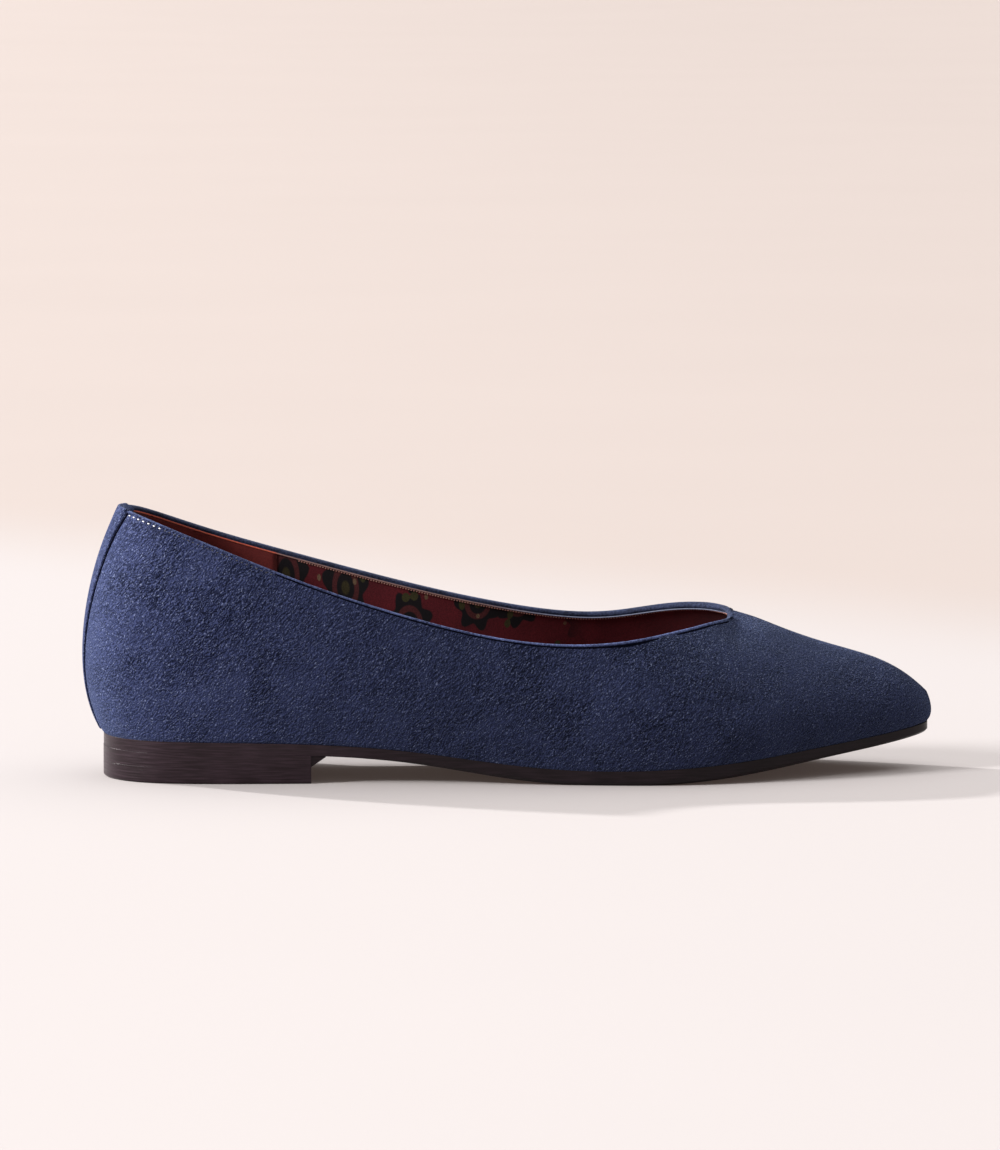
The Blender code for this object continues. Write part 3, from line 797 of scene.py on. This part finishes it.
def along_rim(behind, before, start, end):
    """A band along the rim. Its profile changes from back to front, and is drawn down at the point."""
    count = round((end - start) / STATION_STEP)
    places = [start + (end - start) * i / count for i in range(count + 1)]
    stations = [rim_at(distance) for distance in places]
    profiles = []
    for distance, (point, _, _) in zip(places, stations):
        share = ramp(point.x, 85.0 * MM, 140.0 * MM)
        at_point = ramp(abs(distance - throat), 12.0 * MM, 1.0 * MM)
        profile = []
        for first, last in zip(behind, before):
            across = first[0] + (last[0] - first[0]) * share
            up = first[1] + (last[1] - first[1]) * share
            if across < -1.0:
                across *= 1.0 - 0.35 * at_point
                up -= 0.8 * at_point if up < 0.2 else 0.0
            profile.append((across, up))
        profiles.append(profile)
    return band(stations, profiles)


def make_binding_suede():
    """The same suede, rubbed lighter; painted light makes it lighter still on the outer side and towards the
    throat, and painted shade darker on the inner side.
    """
    made, tree, shader = new_finish("rubbed_and_painted_light_binding_suede")
    pebbles = grain(tree, place(tree), 0.6 * MM, detail=2.0, distortion=0.6)
    clouds = grain(tree, place(tree), 9.0 * MM, detail=2.0)
    tone = sums(
        tree, "ADD", between(tree, pebbles, 0.3, 0.7, 0.0, 0.6), between(tree, clouds, 0.3, 0.7, 0.0, 0.4),
    )
    colour = blend_colours(tree, tone, NAVY_DEEP, BINDING_NAVY)
    # Painted light and shade: lighter on the outer side and towards the throat, darker on the inner side.
    outer = between(tree, place_along(tree, "Y"), -8.0 * MM, -3.0 * MM, 1.80, 0.50)
    before = between(tree, place_along(tree, "X"), 40.0 * MM, 110.0 * MM, 1.0, 1.25)
    paint(tree, shader, colour, sums(tree, "MULTIPLY", outer, before))
    shader.inputs["Roughness"].default_value = 0.85
    shader.inputs["Specular IOR Level"].default_value = 0.12
    shader.inputs["Sheen Weight"].default_value = 0.15
    shader.inputs["Sheen Roughness"].default_value = 0.4
    shader.inputs["Sheen Tint"].default_value = (0.45, 0.60, 1.0, 1.0)
    relief(tree, shader, pebbles, 0.25 * MM)
    return made


def make_piping_leather():
    """Piped edge: red at the back, pale and then blue towards the throat, each brighter than the leather it
    edges as painted highlight along the fold.
    """
    made, tree, shader = new_finish("lining_piping")
    here = place_along(tree, "X")
    pores = grain(tree, place(tree), 0.5 * MM)
    to_textile = between(tree, here, WAIST_SEAM - 1.0 * MM, WAIST_SEAM + 1.0 * MM)
    to_throat = between(tree, here, 80.0 * MM, 112.0 * MM)
    colour = blend_colours(tree, to_textile, PIPING_RED_HIGHLIGHT, PIPING_PALE_HIGHLIGHT)
    colour = blend_colours(tree, to_throat, colour, PIPING_BLUE_HIGHLIGHT)
    paint(tree, shader, colour, between(tree, pores, 0.3, 0.7, 0.75, 1.1))
    shader.inputs["Roughness"].default_value = 0.55
    relief(tree, shader, pores, 0.05 * MM)
    return made


binding_suede = make_binding_suede()
# The rolled edges of the back strip wear the binding suede, so their light line is partly painted highlight.
for side, name in ((-1.0, "strip_roll_outer"), (1.0, "strip_roll_inner")):
    stations = strip_side(side, ROLL_INSET)
    roll = band(stations, [ROLL_PROFILE] * len(stations))
    put_on(name, subdivided(roll, 1), binding_suede, "navy_suede")

binding = along_rim(BINDING_BEHIND, BINDING_THROAT, BINDING_START, whole_rim - BINDING_START)
put_on("topline_binding_suede", subdivided(binding, 1), binding_suede, "suede_binding", "topline_binding")
piping_start = BINDING_START - PIPING_UNDER_STRIP
piping = along_rim(PIPING_PROFILE, PIPING_PROFILE, piping_start, whole_rim - piping_start)
put_on("lining_piping", subdivided(piping, 1), make_piping_leather(), "red_leather")
# Near-black bands below the binding are the painted shadow of its seam's groove.
for name, start, end in (
    ("topline_groove_shadow_outer", GROOVE_SHADOW_START, throat - 2.5 * MM),
    ("topline_groove_shadow_inner", throat + 14.0 * MM, whole_rim - GROOVE_SHADOW_START),
):
    groove = along_rim(TOP_GROOVE_SHADOW_BEHIND, TOP_GROOVE_SHADOW_THROAT, start, end)
    put_on(name, subdivided(groove, 1), groove_shadow, "navy_suede")


# Topline stitching: a row of lockstitches through suede and lining, white on and beside the back
# strip and then navy as far as the waist, sunk into the nap. Inside, a russet row holds the lining.

STITCH_PITCH = 1.6 * MM
WHITE_PITCH = 2.1 * MM
RUSSET_PITCH = 0.85 * MM
WHITE_RUN = 24.6 * MM
NAVY_RUN = 62.0 * MM


def sew(across, up, start, end, pitch, length, thickness):
    """A row of stitches along the rim, at a place in mm given out of and off the leather."""
    mesh = bmesh.new()
    distance = start
    while distance < end:
        here, out, off = rim_at(distance)
        ahead = rim_at(distance + 0.5 * MM)[0]
        along = (ahead - here).normalized()
        upward = out.cross(along).normalized()
        turn = Matrix((along, upward, out)).transposed().to_4x4()
        spot = Matrix.Translation(here + out * across * MM + off * up * MM)
        size = Matrix.Diagonal((length * MM / 2.0, thickness * MM / 2.0, thickness * MM / 2.0, 1.0))
        bmesh.ops.create_icosphere(mesh, subdivisions=1, radius=1.0, matrix=spot @ turn @ size)
        distance += pitch
    return mesh


def make_thread(name, colour):
    """Twisted polyester thread."""
    made, tree, shader = new_finish(name)
    twist = grain(tree, place(tree), 0.25 * MM)
    dark = tuple(part * 0.7 for part in colour[:3]) + (1.0,)
    tree.links.new(blend_colours(tree, twist, dark, colour), shader.inputs["Base Color"])
    shader.inputs["Roughness"].default_value = 0.6
    shader.inputs["Sheen Weight"].default_value = 0.3
    relief(tree, shader, twist, 0.05 * MM)
    return made


white = make_thread("white_thread", (0.85, 0.86, 0.92, 1.0))
navy = make_thread("navy_thread", (0.007, 0.009, 0.022, 1.0))
russet = make_thread("russet_thread", (0.40, 0.165, 0.13, 1.0))

# Each row's thread, place out of and off the leather, run around the rim, pitch, and stitch size.
ROWS = {
    "white_stitches_outer": (white, 0.34, -0.62, 11.0 * MM, WHITE_RUN, WHITE_PITCH, 0.95, 0.46),
    "white_stitches_inner": (
        white, 0.34, -0.62, whole_rim - WHITE_RUN + 1.0 * MM, whole_rim - 10.0 * MM, WHITE_PITCH, 0.95, 0.46,
    ),
    "white_stitches_strip": (
        white, 0.78, -0.52, whole_rim - 7.35 * MM, whole_rim + 7.6 * MM, WHITE_PITCH, 0.80, 0.36,
    ),
    "navy_stitches_outer": (navy, 0.31, -0.62, WHITE_RUN + 1.0 * MM, NAVY_RUN, STITCH_PITCH, 0.80, 0.42),
    "navy_stitches_inner": (
        navy, 0.31, -0.62, whole_rim - NAVY_RUN, whole_rim - WHITE_RUN, STITCH_PITCH, 0.80, 0.42,
    ),
    "lining_stitches": (russet, -1.42, -1.02, 70.0 * MM, whole_rim - 70.0 * MM, RUSSET_PITCH, 0.55, 0.50),
}
for name, (thread, *seam) in ROWS.items():
    put_on(name, sew(*seam), thread, "sewing_thread")


# Floor: one level sheet of matt cream paper that runs on behind the shoe, past the top of the
# picture. It is darker and warmer far behind and darker to the right, as painted shade, and it glows
# faintly so that the shadows stay warm.

FLOOR_REACH = 16.0
PAPER_NEAR = ((0.382, 0.366, 0.369, 1.0), (0.390, 0.374, 0.377, 1.0))
PAPER_FAR_PAINTED_SHADE = ((0.351, 0.312, 0.297, 1.0), (0.363, 0.323, 0.308, 1.0))
PAPER_GLOW = (1.0, 0.72, 0.62, 1.0)


def make_paper():
    """Matt cream paper with a faint unevenness, with painted shade far behind the shoe and towards the right.
    """
    made, tree, shader = new_finish("cream_paper")
    along = place_along(tree, "X")
    clouds = grain(tree, place(tree), 0.25, detail=2.0)
    near = blend_colours(tree, clouds, *PAPER_NEAR)
    far = blend_colours(tree, clouds, *PAPER_FAR_PAINTED_SHADE)
    # Painted shade: darker and warmer far behind the shoe, and darker from left to right.
    painted_shade_line = sums(tree, "MULTIPLY_ADD", along, 0.95, place_along(tree, "Y"))
    colour = blend_colours(tree, between(tree, painted_shade_line, 0.50, 0.85), near, far)
    paint(tree, shader, colour, between(tree, along, -0.7, 0.8, 1.06, 0.93))
    shader.inputs["Roughness"].default_value = 0.95
    shader.inputs["Specular IOR Level"].default_value = 0.1
    shader.inputs["Emission Color"].default_value = PAPER_GLOW
    shader.inputs["Emission Strength"].default_value = 0.045
    relief(tree, shader, grain(tree, place(tree), 2.0 * MM), 0.02 * MM)
    return made


paper = bmesh.new()
bmesh.ops.create_circle(paper, cap_ends=True, segments=96, radius=FLOOR_REACH)
paper_data = bpy.data.meshes.new("floor")
paper.to_mesh(paper_data)
paper.free()
paper_data.materials.append(make_paper())
floor = bpy.data.objects.new("floor", paper_data)
bpy.context.scene.collection.objects.link(floor)


# Light: a crisp low sun behind the heel, a softer one from the front of the heel that rakes over the
# nap, a wide soft light from above and a pale room. All are parallel, so the floor is evenly lit.

def sunlight(name, strength, colour, angle, way):
    """Parallel light from a way, given towards the lamp, as soft as its angle in degrees."""
    data = bpy.data.lights.new(name, "SUN")
    data.energy = strength
    data.color = colour
    data.angle = math.radians(angle)
    lamp = bpy.data.objects.new(name, data)
    bpy.context.scene.collection.objects.link(lamp)
    lamp.location = Vector(way).normalized() * 2.0
    lamp.rotation_euler = Vector(way).to_track_quat("Z", "Y").to_euler()


sunlight("window_behind", 4.2, (1.0, 0.97, 0.94), 2.5, (-1.7, 1.1, 1.0))
sunlight("window_before", 4.7, (1.0, 0.97, 0.95), 13.0, (-0.85, -0.31, 0.42))
sunlight("ceiling", 2.3, (1.0, 0.98, 0.97), 95.0, (0.05, 0.25, 1.0))

room = bpy.data.worlds.new("room")
room.use_nodes = True
room.node_tree.nodes["Background"].inputs["Color"].default_value = (1.0, 0.93, 0.885, 1.0)
room.node_tree.nodes["Background"].inputs["Strength"].default_value = 0.45
bpy.context.scene.world = room
bpy.context.scene.view_settings.view_transform = "Standard"


# Camera: nearly level with the shoe's outer side and far away, as in a shop's picture. A picture
# 1150 pixels high shows the shoe at 3.265 pixels to the millimetre.

CAMERA_TARGET = Vector((0.08972, 0.0, 0.06063))
CAMERA_TURN = math.radians(-3.0)
CAMERA_RISE = math.radians(5.9)
CAMERA_DISTANCE = 2.5
CAMERA_FOCAL_PIXELS = 8162.5
PICTURE_HEIGHT = 1150.0

towards_camera = Vector((
    math.sin(CAMERA_TURN) * math.cos(CAMERA_RISE),
    -math.cos(CAMERA_TURN) * math.cos(CAMERA_RISE),
    math.sin(CAMERA_RISE),
))
camera_data = bpy.data.cameras.new("camera")
camera_data.sensor_fit = "VERTICAL"
camera_data.sensor_height = 36.0
camera_data.lens = 36.0 * CAMERA_FOCAL_PIXELS / PICTURE_HEIGHT
camera = bpy.data.objects.new("camera", camera_data)
bpy.context.scene.collection.objects.link(camera)
camera.location = CAMERA_TARGET + towards_camera * CAMERA_DISTANCE
camera.rotation_euler = (-towards_camera).to_track_quat("-Z", "Y").to_euler()
bpy.context.scene.camera = camera
